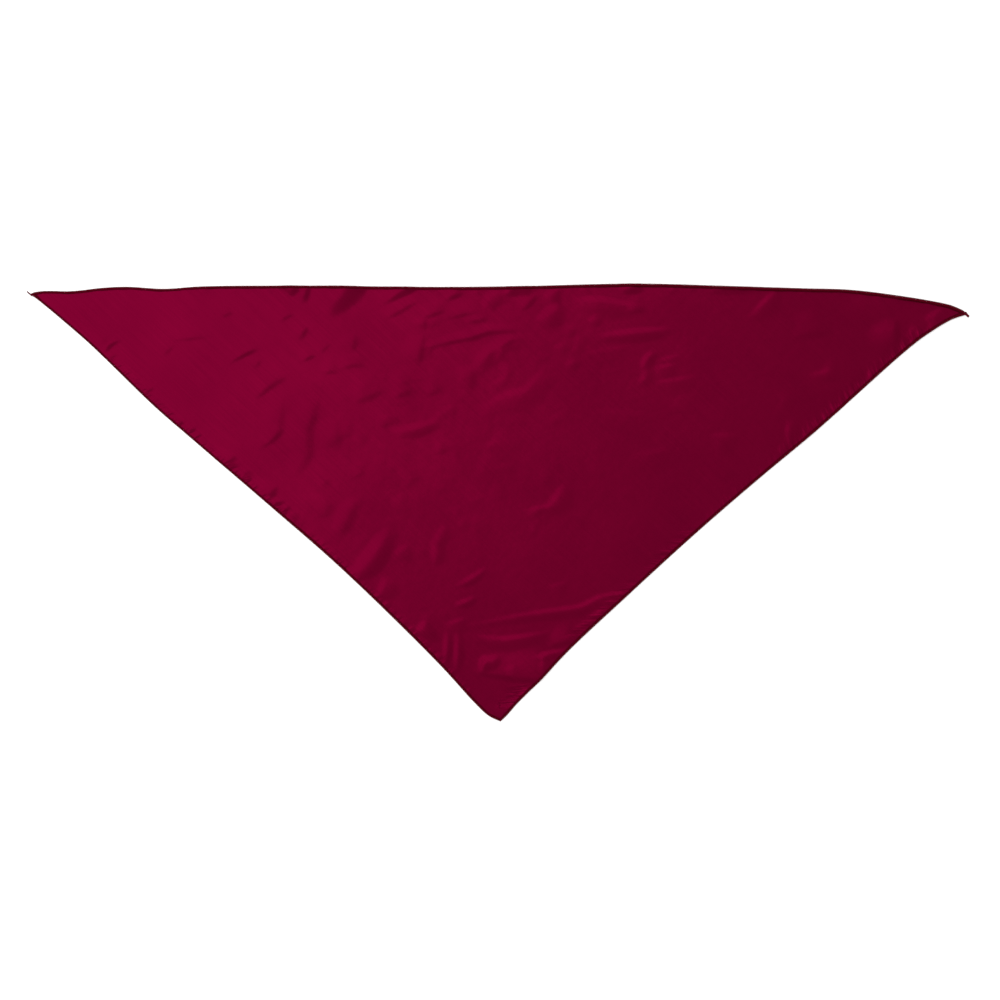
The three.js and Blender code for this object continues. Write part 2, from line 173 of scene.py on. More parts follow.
# These flanks face the lower right.
LOWER_RIGHT_FLANKS = [
    # The left part
    (3.7, 1.27, 0.5, 3.4, [(-419, 156), (-415, 166), (-404, 173)]),
    (4.8, 1.2, 0.6, 3.4, [(-285, 149), (-273, 156), (-258, 163)]),
    (4.3, 0.71, 0.5, 3.4, [(-257, 143), (-253, 153)]),
    (7.5, 0.98, 0.5, 3.4, [(-256, 112), (-244, 122), (-227, 133)]),
    (9.6, 0.73, 0.6, 2.2, [(-228, 108), (-231, 85), (-236, 67)]),
    (4.3, 0.67, 0.4, 3.4, [(-229, 77), (-240, 66), (-253, 57)]),
    (11.8, 1.24, 0.35, 2.0, [(-193, 103), (-200, 76), (-200, 52), (-209, 34)]),
    (9.6, 0.57, 0.5, 3.4, [(-170, 86), (-169, 60)]),
    (7.5, 0.3, 0.5, 3.4, [(-182, 59), (-168, 67), (-155, 74)]),
    (5.4, 1.03, 0.6, 3.4, [(-210, 174), (-203, 187)]),
    (4.3, 0.8, 0.5, 3.4, [(-207, 151), (-196, 157)]),
    (4.8, 0.77, 0.5, 3.4, [(-232, 194), (-219, 201)]),
    (5.4, 0.76, 0.5, 3.4, [(-296, 198), (-284, 202)]),
    (5.4, 0.61, 0.5, 3.4, [(-166, 143), (-155, 146), (-143, 145)]),
    (5.4, 0.52, 0.5, 3.4, [(-188, 160), (-179, 169)]),
    (5.4, 0.56, 0.5, 3.4, [(-187, 139), (-172, 139)]),
    (5.4, 0.77, 0.5, 3.4, [(-151, 179), (-153, 162)]),
    (5.4, 0.7, 0.5, 3.4, [(-357, 156), (-346, 168)]),
    (5.4, 0.77, 0.5, 3.4, [(-348, 173), (-313, 176)]),
    # Beside the long edge
    (9.6, 3.27, 0.3, 3.4, [(-213, 232), (-220, 221)]),
    (5.4, 1.78, 0.4, 3.4, [(-201, 232), (-205, 215)]),
    (21.4, 4.2, 0.35, 3.4, [(-143, 234), (-159, 217), (-177, 202)]),
    (7.5, 2.19, 0.3, 3.4, [(-85, 231), (-101, 223), (-119, 213)]),
    (5.4, 0.72, 0.5, 3.4, [(-88, 213), (-103, 204), (-117, 197)]),
    (4.8, 0.62, 0.5, 3.4, [(-58, 204), (-78, 197)]),
    (4.3, 0.59, 0.4, 3.4, [(-77, 197), (-77, 187)]),
    (5.4, 1.01, 0.5, 3.4, [(-38, 223), (-53, 217)]),
    (4.8, 0.59, 0.4, 3.4, [(-22, 203), (-38, 200), (-52, 196)]),
    (4.3, 0.54, 0.5, 3.4, [(-11, 195), (-32, 192)]),
    (10.7, 2.2, 0.5, 3.4, [(33, 223), (22, 225), (12, 223)]),
    (4.8, 0.7, 0.4, 3.4, [(42, 220), (35, 211), (28, 205)]),
    (9.6, 1.17, 0.5, 3.4, [(281, 228), (254, 226), (230, 225)]),
    (8.6, 1.72, 0.5, 3.4, [(153, 227), (134, 225)]),
    (5.4, 0.49, 0.5, 3.4, [(142, 203), (156, 205)]),
    # The long crease and the pit
    (5.4, 0.93, 0.5, 1.6, [(-68, 166), (-48, 171), (-27, 175), (-8, 181), (13, 182)]),
    (6.4, 1.0, 0.5, 3.4, [(-78, 178), (-82, 149)]),
    (8.6, 0.47, 0.5, 2.5, [(-1, 161), (-8, 155), (-10, 146)]),
    # The middle
    (5.4, 0.12, 0.5, 3.4, [(50, 120), (68, 133)]),
    (9.6, 0.86, 0.4, 3.4, [(-150, 107), (-138, 111), (-124, 118)]),
    (8.6, 0.86, 0.5, 3.4, [(-109, 113), (-92, 118)]),
    (6.4, 0.28, 0.5, 3.4, [(-105, 127), (-82, 131)]),
    (9.6, 0.37, 0.5, 3.4, [(-121, 80), (-111, 91)]),
    (8.6, 0.19, 0.5, 3.4, [(-48, 106), (-43, 97)]),
    (5.4, 0.4, 0.5, 3.4, [(-63, 52), (-54, 56)]),
    # At the right tip
    (6.4, 2.18, 0.5, 5.0, [(428, 193), (427, 161)]),
    (6.4, 0.34, 0.6, 3.4, [(410, 219), (418, 208), (425, 195)]),
    # Along the left edge
    (11.8, 0.75, 0.4, 1.2, [(-148, -1), (-156, -18), (-164, -33)]),
    (11.8, 0.52, 0.5, 3.4, [(-176, 1), (-183, -16)]),
    (8.6, 1.41, 0.6, 3.4, [(-236, 17), (-244, 1)]),
    (8.6, 0.6, 0.6, 3.4, [(-263, 34), (-272, 22)]),
    (8.6, 1.76, 0.6, 3.4, [(-280, 49), (-288, 36)]),
    # At the blunt corner
    (6.4, 1.26, 0.6, 3.4, [(59, -154), (86, -148)]),
    (7.5, 2.55, 0.85, 4.5, [(-18, -184), (3, -187), (24, -190), (49, -192)]),
    # Round the pit and the squiggle
    (4.3, 0.4, 0.5, 3.0, [(3, 165), (12, 170), (20, 174)]),
    (5.4, 0.08, 0.5, 3.4, [(-23, 137), (-33, 132), (-43, 127)]),
    (4.3, 0.3, 0.5, 3.4, [(77, 177), (85, 184)]),
    (3.7, 0.5, 0.5, 3.4, [(98, 194), (107, 188)]),
    # Faint ones all over the cloth
    (9.6, 0.43, 0.5, 3.4, [(8, 135), (19, 140)]),
    (7.5, 0.54, 0.5, 3.4, [(-74, 115), (-59, 120)]),
    (8.6, 0.42, 0.5, 3.4, [(-97, 17), (-83, 26)]),
    (9.6, 0.11, 0.5, 3.4, [(-130, 16), (-117, 28)]),
    (7.5, 0.35, 0.5, 3.4, [(-187, 16), (-178, 24)]),
    (8.6, 0.76, 0.5, 3.4, [(322, 176), (339, 179), (354, 181)]),
    (6.4, 0.67, 0.5, 3.4, [(348, 132), (364, 131)]),
    (9.6, 0.13, 0.5, 3.4, [(241, 24), (258, 35)]),
    (8.6, 0.06, 0.5, 3.4, [(82, 24), (78, 5)]),
]

UPPER_LEFT = np.array([-0.77, 0.64])
# How far a crease runs out past the ends of its line, as a share of the line
CREASE_RUNOUT = 0.18

# Broad waves in the cloth as it lies: wave length in mm, height in mm and how many
LAY_WAVES = [(270, 0.3, 3), (130, 0.12, 4), (64, 0.05, 5), (34, 0.02, 6)]
WAVE_SEED = 11

# Small chance creases from handling: how many, where they are thickest and how far they
# spread in mm, how they lie, half of their length and their width in mm, and their height as
# a share of that width
CRUMPLE_COUNT = 120
CRUMPLE_MIDDLE = (-60, 90)
CRUMPLE_SPREAD = (80, 90)
CRUMPLE_TURN = math.radians(38)
CRUMPLE_TURN_SPREAD = 0.9
CRUMPLE_HALF_LENGTH = (3, 8)
CRUMPLE_BOW = 0.25
CRUMPLE_WIDTH = (6, 14)
CRUMPLE_STEEPNESS = (0.008, 0.025)
CRUMPLE_SEED = 5

# Puckers that the stitches draw in the cloth beside the hem: which edge, from and to
# which share of it, which way they face, spacing, length, width and height in mm, and
# how they lean from straight in, in degrees. Edges 0, 1 and 2 are long, right and left.
PUCKERS = [
    (0, 0.03, 0.97, -1, 26, 6, 5.5, 0.25, 15),
    (1, 0.06, 0.36, 1, 10, 9, 4.2, 0.6, -35),
    (1, 0.36, 0.6, 1, 13, 5, 4.2, 0.3, -35),
    (1, 0.72, 0.84, -1, 9, 12, 4.2, 0.45, 42),
    (1, 0.92, 0.98, 1, 7, 12, 4.2, 0.5, 42),
    (2, 0.06, 0.45, -1, 10, 6, 4.2, 0.4, 0),
    (2, 0.45, 0.84, -1, 11, 9, 4.2, 0.9, 0),
    (2, 0.84, 0.95, -1, 14, 5, 4.2, 0.4, 0),
]
PUCKER_SEED = 3
# How far inside the outline the puckers start, in mm
PUCKER_START = 2.4
# How much puckers differ: turn in radians, and shares of their length, height, width and spacing
PUCKER_TURN_SPREAD = 0.3
PUCKER_LENGTHS = (0.5, 1.4)
PUCKER_HEIGHTS = (0.4, 1.3)
PUCKER_WIDTHS = (0.85, 1.3)
PUCKER_SPACINGS = (0.5, 1.6)

# Fine gathers between those puckers, too narrow for the mesh: which edge, from and to which
# share of it, how deep they are as a share, how far they run in from the hem in mm, and
# their lean in degrees
GATHERS = [
    (0, 0.02, 0.98, 0.25, 7, 15),
    (1, 0.05, 0.4, 1.0, 13, -35),
    (1, 0.4, 0.55, 0.5, 9, -35),
    (1, 0.55, 0.68, 0.8, 12, 30),
    (1, 0.68, 0.84, 1.0, 14, 35),
    (1, 0.84, 0.92, 0.25, 8, 35),
    (1, 0.915, 0.985, 1.6, 20, 38),
    (2, 0.05, 0.45, 0.5, 8, 0),
    (2, 0.45, 0.86, 0.8, 10, 0),
    (2, 0.86, 0.97, 0.3, 7, 0),
]
# Share of the edge over which each stretch of gathers comes and goes
GATHER_BLEND = 0.03

# How far the border of the cloth rises to each hem, in mm: long, right and left
HEM_RISE = [0.5, 0.15, 0.35]

# How full the hem bead is at shares of each edge: long, right and left
HEM_FULLNESS = [
    [(0, 0.45), (0.006, 1.1), (0.012, 0.95), (0.1, 0.95), (0.45, 1.05), (0.68, 1.2), (0.95, 1.25),
     (0.993, 1.35), (1, 0.6)],
    [(0, 0.6), (0.01, 1.25), (0.025, 1.0), (0.5, 0.92), (0.992, 0.9), (1, 0.7)],
    [(0, 0.7), (0.008, 0.9), (0.45, 0.92), (0.6, 0.7), (0.98, 0.66), (0.992, 1.1), (1, 0.45)],
]
# Lengths in mm of the slow swells in the bead, and how much each adds as a share
HEM_SWELLS = (140, 47, 19)
HEM_SWELL = 0.035
# Distance in mm between the points that a hem is bent along
ROUTE_STEP = 2.5
# The needle stitch: how far it stands past the wraps and under their middle in mm, half its
# length as a share of the pitch, and how flat it is pressed
NEEDLE_OFFSET = 0.1
NEEDLE_REACH = 0.46
NEEDLE_FLATNESS = 0.8
# How deep the rolled cloth lies inside the wraps, as a share of the thread
CORE_DEPTH = 0.8

# Thread ends: points along a strand, turns of the twist, mm that the strands start inside the
# corner, and how much thinner they are at the tip, as a share
STRAND_STEPS = 16
STRAND_TURNS = 1.6
STRAND_ROOT = 2.5
STRAND_TAPER = 0.35

# The end at the right corner is shorter, thicker and fuller than the one at the left
RIGHT_END = {
    "length": 3.4, "turn": -27, "sway": 0, "thread": 1.2, "spread": 1.0, "strands": 7,
    "shortening": 0.02,
}

# Distance in mm over which the cloth's slope is taken
SLOPE_STEP = 0.5

# The floor's width and height and the camera's place across, in metres
FLOOR_WIDTH = 14
FLOOR_HEIGHT = -0.0003
CAMERA_PLACE = (0.0029, 0.0027)


def linear(hex_colour):
    """An sRGB hex colour as linear red, green, blue and alpha."""
    shares = [int(hex_colour[place:place + 2], 16) / 255 for place in (0, 2, 4)]
    return (*(s / 12.92 if s <= 0.04045 else ((s + 0.055) / 1.055) ** 2.4 for s in shares), 1.0)


def smooth_through(knots, steps=40):
    """Points on a centripetal Catmull-Rom curve through the knots."""
    guarded = np.vstack([2 * knots[0] - knots[1], knots, 2 * knots[-1] - knots[-2]])
    share = np.linspace(0, 1, steps, endpoint=False)[:, None]
    spans = []
    for a, b, c, d in zip(guarded, guarded[1:], guarded[2:], guarded[3:]):
        first = math.sqrt(math.dist(a, b))
        middle = math.sqrt(math.dist(b, c))
        last = math.sqrt(math.dist(c, d))
        leave = ((b - a) / first - (c - a) / (first + middle) + (c - b) / middle) * middle
        arrive = ((c - b) / middle - (d - b) / (middle + last) + (d - c) / last) * middle
        bend = 3 * (c - b) - 2 * leave - arrive
        twist = 2 * (b - c) + leave + arrive
        spans.append(b + leave * share + bend * share ** 2 + twist * share ** 3)
    return np.vstack([*spans, knots[-1:]])


class ClothEdge:
    """One curved edge of the cut in mm, run clockwise from above."""

    def __init__(self, start, end, bows):
        run = end - start
        out = np.array([-run[1], run[0]])
        self.path = smooth_through(np.array([start + run * along + out * bow for along, bow in bows]))
        steps = np.hypot(*np.diff(self.path, axis=0).T)
        self.reach = np.concatenate([[0], np.cumsum(steps)])
        self.length = self.reach[-1]

    def on_outline(self, distance):
        """The outline's points at distances along it."""
        x = np.interp(distance, self.reach, self.path[:, 0])
        y = np.interp(distance, self.reach, self.path[:, 1])
        return np.stack([x, y], axis=-1)

    def direction(self, share):
        """The edge's direction at a share of its length."""
        distance = np.clip(share, 0, 1) * self.length
        step = self.on_outline(distance + 0.5) - self.on_outline(distance - 0.5)
        return step / np.linalg.norm(step, axis=-1, keepdims=True)

    def point(self, share, inset):
        """The point at a share of the edge, moved into the cloth by an inset."""
        direction = self.direction(share)
        inward = np.stack([direction[..., 1], -direction[..., 0]], axis=-1)
        inset = np.asarray(inset)
        return self.on_outline(np.clip(share, 0, 1) * self.length) + inward * inset[..., None]


def cut_edges(corners):
    """The long, right and left edge between the left, right and bottom corner."""
    left, right, bottom = corners
    return [
        ClothEdge(left, right, LONG_EDGE_BOWS),
        ClothEdge(right, bottom, RIGHT_EDGE_BOWS),
        ClothEdge(bottom, left, LEFT_EDGE_BOWS),
    ]


def laid_edges():
    """The three edges as they lie in the shared frame."""
    foot = (LONG_EDGE ** 2 + LEFT_EDGE ** 2 - RIGHT_EDGE ** 2) / (2 * LONG_EDGE)
    depth = math.sqrt(LEFT_EDGE ** 2 - foot ** 2)
    flat = np.array([[0, 0], [LONG_EDGE, 0], [foot, -depth]])
    across = np.array([math.cos(LAY_TURN), math.sin(LAY_TURN)])
    up = np.array([-across[1], across[0]])
    corners = flat[:, :1] * across + flat[:, 1:] * up
    paths = np.vstack([edge.path for edge in cut_edges(corners)])
    hems = [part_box(node) for node in ("long_edge_hem", "right_edge_hem", "left_edge_hem")]
    low = np.min([lo[:2] for lo, _ in hems], axis=0) / MM
    high = np.max([hi[:2] for _, hi in hems], axis=0) / MM
    # The drawn-out tips stand past the corners, so they don't count across
    first = np.array([corners[:, 0].min(), paths[:, 1].min()])
    last = np.array([corners[:, 0].max(), paths[:, 1].max()])
    shift = (low + high - first - last) / 2
    return cut_edges(corners + shift)


def meeting_shares(first, second, inset):
    """Where two edges moved in by the same inset meet, as shares of each edge."""
    before = 1 - inset / first.length
    after = inset / second.length
    for _ in range(8):
        between = second.point(after, inset) - first.point(before, inset)
        a = first.direction(before)
        b = second.direction(after)
        turn = a[0] * b[1] - a[1] * b[0]
        before += (between[0] * b[1] - between[1] * b[0]) / turn / first.length
        after += (between[0] * a[1] - between[1] * a[0]) / turn / second.length
    return before, after


def crease_form(x, y, crease, faces):
    """Height in mm that one crease has at each place. faces is 1 where its steep flank faces
    the upper left and -1 where it faces the lower right."""
    width, height, fullest, back, line = crease
    line = smooth_through(np.array(line, float), 6)
    start = line[:-1]
    run = np.diff(line, axis=0)
    lengths = np.hypot(*run.T)
    reach = np.concatenate([[0], np.cumsum(lengths)])
    dx = x[:, None] - start[:, 0]
    dy = y[:, None] - start[:, 1]
    floor = np.where(np.arange(len(run)) == 0, -np.inf, 0)
    ceiling = np.where(np.arange(len(run)) == len(run) - 1, np.inf, 1)
    held = np.clip((dx * run[:, 0] + dy * run[:, 1]) / lengths ** 2, floor, ceiling)
    off_x = dx - held * run[:, 0]
    off_y = dy - held * run[:, 1]
    nearest = np.argmin(off_x ** 2 + off_y ** 2, axis=1)
    every = np.arange(len(x))
    away = np.hypot(off_x[every, nearest], off_y[every, nearest])
    left_of = np.sign(run[nearest, 0] * dy[every, nearest] - run[nearest, 1] * dx[every, nearest])
    chord = line[-1] - line[0]
    left_faces_light = np.sign(chord[0] * UPPER_LEFT[1] - chord[1] * UPPER_LEFT[0])
    uphill = -faces * left_faces_light * left_of * away
    share = (reach[nearest] + held[every, nearest] * lengths[nearest]) / reach[-1]
    span = np.where(share < fullest, fullest, 1 - fullest) + CREASE_RUNOUT
    taper = np.clip(1 - ((share - fullest) / span) ** 2, 0, None) ** 1.5
    flank = width * (0.6 + 0.4 * taper)
    climb = np.clip(uphill / flank + 0.5, 0, 1)
    fall = np.clip((uphill - flank / 2) / (flank * back), 0, 1)
    return height * taper * climb ** 2 * (3 - 2 * climb) * (1 - fall ** 2) ** 2


def crumple_rows():
    """Small chance creases, most of them in the middle of the cloth, with the way each faces."""
    rng = np.random.default_rng(CRUMPLE_SEED)
    rows = []
    for _ in range(CRUMPLE_COUNT):
        x = rng.normal(CRUMPLE_MIDDLE[0], CRUMPLE_SPREAD[0])
        y = rng.normal(CRUMPLE_MIDDLE[1], CRUMPLE_SPREAD[1])
        turn = rng.normal(CRUMPLE_TURN, CRUMPLE_TURN_SPREAD)
        half = np.array([math.cos(turn), math.sin(turn)]) * rng.uniform(*CRUMPLE_HALF_LENGTH)
        bow = np.array([-half[1], half[0]]) * rng.normal(0, CRUMPLE_BOW)
        middle = np.array([x, y])
        width = rng.uniform(*CRUMPLE_WIDTH)
        height = width * rng.uniform(*CRUMPLE_STEEPNESS)
        line = [middle - half, middle + bow, middle + half]
        rows.append(((width, height, 0.5, 2.0, line), rng.choice([-1, 1])))
    return rows


def pucker_rows(edges):
    """Short puckers that run into the cloth from the hem, with the way each faces."""
    rng = np.random.default_rng(PUCKER_SEED)
    rows = []
    for k, start, end, faces, spacing, length, width, height, lean in PUCKERS:
        edge = edges[k]
        reach = start * edge.length
        while reach < end * edge.length:
            share = reach / edge.length
            forward = edge.direction(share)
            inward = np.array([forward[1], -forward[0]])
            turn = math.radians(lean) + rng.normal(0, PUCKER_TURN_SPREAD)
            way = inward * math.cos(turn) + forward * math.sin(turn)
            first = edge.point(share, PUCKER_START)
            line = [first, first + way * length * rng.uniform(*PUCKER_LENGTHS)]
            tall = height * rng.uniform(*PUCKER_HEIGHTS)
            wide = width * rng.uniform(*PUCKER_WIDTHS)
            rows.append(((wide, tall, 0.15, 1.2, line), faces))
            reach += spacing * rng.uniform(*PUCKER_SPACINGS)
    return rows


class LaidCloth:
    """The form of the cloth as it lies: its edges and its height at any place."""

    def __init__(self):
        self.edges = laid_edges()
        self.rows = [
            *((row, 1) for row in UPPER_LEFT_FLANKS),
            *((row, -1) for row in LOWER_RIGHT_FLANKS),
            *crumple_rows(),
            *pucker_rows(self.edges),
        ]
        rng = np.random.default_rng(WAVE_SEED)
        self.waves = []
        for wave_length, height, count in LAY_WAVES:
            for _ in range(count):
                turn = rng.uniform(0, math.tau)
                rate = math.tau / (wave_length * rng.uniform(0.8, 1.25))
                phase = rng.uniform(0, math.tau)
                self.waves.append((rate * math.cos(turn), rate * math.sin(turn), phase, height))

    def height(self, x, y):
        """Height in mm of the cloth's underside at each place."""
        total = np.zeros_like(x)
        for row, faces in self.rows:
            width, _, _, back, line = row
            middle = np.mean(line, axis=0)
            reach = max(math.dist(middle, knot) for knot in line) * 1.4 + width * (back + 0.5)
            near = np.hypot(x - middle[0], y - middle[1]) < reach
            if near.any():
                total[near] += crease_form(x[near], y[near], row, faces)
        for rate_x, rate_y, phase, height in self.waves:
            total += height * (1 + np.sin(x * rate_x + y * rate_y + phase)) / 2
        return total


def deselect_all():
    """Leave nothing selected, the CAD nodes included."""
    bpy.ops.object.select_all(action="DESELECT")


def finished_piece(piece, material, node):
    """Give a finished mesh its material and its body, and hide the CAD node it stands for."""
    piece.data.materials.clear()
    piece.data.materials.append(material)
    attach(piece, "root")
    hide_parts(node)


def add_node(tree, kind, inputs=None, **fields):
    """Add a shader node, set its fields, and set or link its input sockets."""
    node = tree.nodes.new("ShaderNode" + kind)
    for field, value in fields.items():
        setattr(node, field, value)
    for socket, value in (inputs or {}).items():
        if isinstance(value, bpy.types.NodeSocket):
            tree.links.new(value, node.inputs[socket])
        else:
            node.inputs[socket].default_value = value
    return node


def new_material(name):
    """An empty node material and its tree."""
    material = bpy.data.materials.new(name)
    material.use_nodes = True
    material.node_tree.nodes.clear()
    return material, material.node_tree


def dyed_polyester_satin(settings):
    """Satin-woven polyester filament, piece dyed. Its long floats lie side by side along the
    warp and give a broad soft sheen on a nearly smooth face. That sheen comes back through
    the dyed filament, so it has the colour of the dye from every side, as on a metal, and the
    shader's metallic share stands for it."""
    material, tree = new_material("dyed polyester satin")
    place = add_node(tree, "TexCoord").outputs["Object"]
    # The warp runs along the left edge, as in a square cut corner to corner. Threads 0.1 mm
    # apart are too fine to show, so the streaks are about 1 mm wide and 60 mm long.
    warp = add_node(tree, "Mapping", {
        "Vector": place, "Rotation": (0, 0, math.radians(-43)), "Scale": (0.06, 0.001, 1),
    }, vector_type="TEXTURE").outputs["Vector"]
    streak = add_node(tree, "TexNoise", {"Vector": warp, "Scale": 1.0, "Detail": 2.0})
    # Uneven take-up of the dye, in clouds about 80 mm across
    cloud = add_node(tree, "TexNoise", {"Vector": place, "Scale": 12.0, "Detail": 3.0})
    tone = add_node(tree, "Math", {
        0: streak.outputs["Fac"], 1: cloud.outputs["Fac"],
    }, operation="ADD")
    share = add_node(tree, "MapRange", {
        "Value": tone.outputs[0], "From Min": 0.7, "From Max": 1.3,
    })
    colour = add_node(tree, "Mix", {
        0: share.outputs["Result"], 6: linear(settings.deep_colour), 7: linear(settings.full_colour),
    }, data_type="RGBA")
    gloss = add_node(tree, "MapRange", {
        "Value": tone.outputs[0], "From Min": 0.7, "From Max": 1.3,
        "To Min": settings.roughness + 0.03, "To Max": settings.roughness - 0.03,
    })
    # Soft dents a few mm across, where the filaments have been pressed in handling
    dents = add_node(tree, "TexNoise", {"Vector": place, "Scale": 110.0, "Detail": 3.0})
    dented = add_node(tree, "Bump", {
        "Height": dents.outputs["Fac"], "Strength": 0.35, "Distance": 0.0006,
    })
    # Gathers that the hem stitches draw in, 5 to 9 mm apart, along the sheet's own map
    beside = add_node(tree, "UVMap", uv_map="beside_hem").outputs["UV"]
    spaced = add_node(tree, "Mapping", {
        "Vector": beside, "Scale": (0.0066, 0.022, 1),
    }, vector_type="TEXTURE").outputs["Vector"]
    gather = add_node(tree, "TexNoise", {"Vector": spaced, "Scale": 1.0, "Detail": 2.0})
    level = add_node(tree, "Math", {0: gather.outputs["Fac"], 1: 0.5}, operation="SUBTRACT")
    depth = add_node(tree, "Attribute", attribute_name="gather").outputs["Fac"]
    drawn = add_node(tree, "Math", {0: level.outputs[0], 1: depth}, operation="MULTIPLY")
    gathered = add_node(tree, "Bump", {
        "Height": drawn.outputs[0], "Strength": 1.0, "Distance": 0.0035, "Normal": dented.outputs["Normal"],
    })
    woven = add_node(tree, "Bump", {
        "Height": streak.outputs["Fac"], "Strength": 0.25, "Distance": 0.0001,
        "Normal": gathered.outputs["Normal"],
    })
    shader = add_node(tree, "BsdfPrincipled", {
        "Base Color": colour.outputs[2], "Roughness": gloss.outputs["Result"],
        "Normal": woven.outputs["Normal"], "Metallic": settings.sheen_share,
        "Specular IOR Level": 0.0, "Specular Tint": linear(settings.sheen_colour),
    })
    add_node(tree, "OutputMaterial", {"Surface": shader.outputs[0]})
    return material


def spun_overlock_thread(settings):
    """Spun polyester overlock thread. Two twisted plies of short fibres give a matte, darker
    line with fine diagonal ribs along each wrap."""
    material, tree = new_material("spun overlock thread")
    wrap = add_node(tree, "UVMap").outputs["UV"]
    place = add_node(tree, "TexCoord").outputs["Object"]
    # The plies turn about once for each 0.8 mm of thread
    slanted = add_node(tree, "Mapping", {"Vector": wrap, "Scale": (8, 2, 1)})
    ply = add_node(tree, "TexWave", {
        "Vector": slanted.outputs["Vector"], "Scale": 1.0, "Distortion": 0.4,
    }, bands_direction="DIAGONAL")
    fibre = add_node(tree, "TexNoise", {"Vector": place, "Scale": 900.0, "Detail": 2.0})
    tone = add_node(tree, "Math", {
        0: ply.outputs["Fac"], 1: fibre.outputs["Fac"],
    }, operation="MULTIPLY")
    # Painted shade: the colour falls to the darker ply shade colour in the grooves between the plies, and
    # also in random fibre flecks
    colour = add_node(tree, "Mix", {
        0: tone.outputs[0], 6: linear(settings.painted_ply_shade_colour), 7: linear(settings.thread_colour),
    }, data_type="RGBA")
    ribbed = add_node(tree, "Bump", {
        "Height": ply.outputs["Fac"], "Strength": 0.4, "Distance": 0.0001,
    })
    shader = add_node(tree, "BsdfPrincipled", {
        "Base Color": colour.outputs[2], "Roughness": 0.55, "Normal": ribbed.outputs["Normal"],
        "IOR": 1.55, "Specular IOR Level": 1.0, "Specular Tint": linear("ff1048"),
    })
    add_node(tree, "OutputMaterial", {"Surface": shader.outputs[0]})
    return material


def sheet_mesh(cloth, settings):
    """The satin sheet: a three-way grid whose border follows the edges, with its two faces a
    thickness apart and joined round the border."""
    n = settings.divisions
    inset = settings.tuck
    edges = cloth.edges
    spans = []
    for k in range(3):
        start = meeting_shares(edges[(k + 2) % 3], edges[k], inset)[1]
        end = meeting_shares(edges[k], edges[(k + 1) % 3], inset)[0]
        spans.append((start, end))
    corners = np.array([edges[k].point(spans[k][0], inset) for k in range(3)])
    i = np.repeat(np.arange(n + 1), np.arange(1, n + 2))
    j = np.concatenate([np.arange(row + 1) for row in range(n + 1)])
    weights = np.stack([n - i, i - j, j], axis=1) / n
    place = weights @ corners
    shares = []
    for k in range(3):
        following = (k + 1) % 3
        near = weights[:, k] + weights[:, following]
        share = weights[:, following] / np.where(near > 0, near, 1)
        straight = corners[k] + (corners[following] - corners[k]) * share[:, None]
        start, end = spans[k]
        border = edges[k].point(start + (end - start) * share, np.full_like(share, inset))
        place += near[:, None] * (border - straight)
        shares.append(start + (end - start) * share)

    # The border rises a little, to where the rolled hem grips it
    area = abs(np.cross(corners[1] - corners[0], corners[2] - corners[0]))
    altitude = [area / math.dist(corners[k], corners[(k + 1) % 3]) for k in range(3)]
    inside = np.array([weights[:, (k + 2) % 3] * altitude[k] for k in range(3)])
    rise = np.max([
        HEM_RISE[k] * np.clip(1 - inside[k] / settings.hem_rise_width, 0, None) ** 2 for k in range(3)
    ], axis=0)

    x, y = place.T
    laid = cloth.height(x, y)
    low = laid + rise + settings.lift
    slope_x = (cloth.height(x + SLOPE_STEP, y) - laid) / SLOPE_STEP
    slope_y = (cloth.height(x, y + SLOPE_STEP) - laid) / SLOPE_STEP
    high = low + settings.thickness * np.sqrt(1 + slope_x ** 2 + slope_y ** 2)
    under = np.column_stack([x, y, low])
    over = np.column_stack([x, y, high])

    number = i * (i + 1) // 2 + j
    inner = i < n
    a, row, column = number[inner], i[inner], j[inner]
    below = (row + 1) * (row + 2) // 2 + column
    tips = np.column_stack([a, below + 1, below])
    fill = column < row
    dips = np.column_stack([a[fill], a[fill] + 1, below[fill] + 1])
    top = np.vstack([tips, dips])
    steps = np.arange(n)
    ring = np.concatenate([
        steps * (steps + 1) // 2,
        n * (n + 1) // 2 + steps,
        (n - steps) * (n - steps + 1) // 2 + n - steps,
    ])
    after = np.roll(ring, -1)
    count = len(x)
    wall = np.vstack([
        np.column_stack([ring, after + count, after]),
        np.column_stack([ring, ring + count, after + count]),
    ])
    faces = np.vstack([top[:, ::-1], top + count, wall])
    mesh = bpy.data.meshes.new("satin_cloth")
    mesh.from_pydata((np.vstack([under, over]) * MM).tolist(), [], faces.tolist())
    mesh.update()
    mark_gathers(mesh, edges, inside, shares)
    return mesh


def mark_gathers(mesh, edges, inside, shares):
    """Give the sheet a map that runs beside the nearest hem, and the depth of the gathers."""
    nearest = np.argmin(inside, axis=0)
    every = np.arange(len(nearest))
    distance = inside[nearest, every]
    depth = np.zeros(len(nearest))
    drift = np.zeros(len(nearest))
    for k, start, end, deep, run, lean in GATHERS:
        share = shares[k]
        opening = np.clip((share - start) / GATHER_BLEND, 0, 1)
        closing = np.clip((end - share) / GATHER_BLEND, 0, 1)
        fade = np.clip(1 - distance / run, 0, 1)
        here = nearest == k
        depth += np.where(here, deep * (opening * closing) * fade * fade * (3 - 2 * fade), 0)
        within = here & (share >= start) & (share < end)
        drift[within] = math.tan(math.radians(lean)) * distance[within]
    along = np.choose(nearest, [shares[k] * edges[k].length for k in range(3)]) - drift
    beside = np.tile(np.column_stack([along, distance]) * MM, (2, 1))
    corner = np.empty(len(mesh.loops), int)
    mesh.loops.foreach_get("vertex_index", corner)
    mesh.uv_layers.new(name="beside_hem").data.foreach_set("uv", beside[corner].ravel())
    mesh.attributes.new("gather", "FLOAT", "POINT").data.foreach_set("value", np.tile(depth, 2))


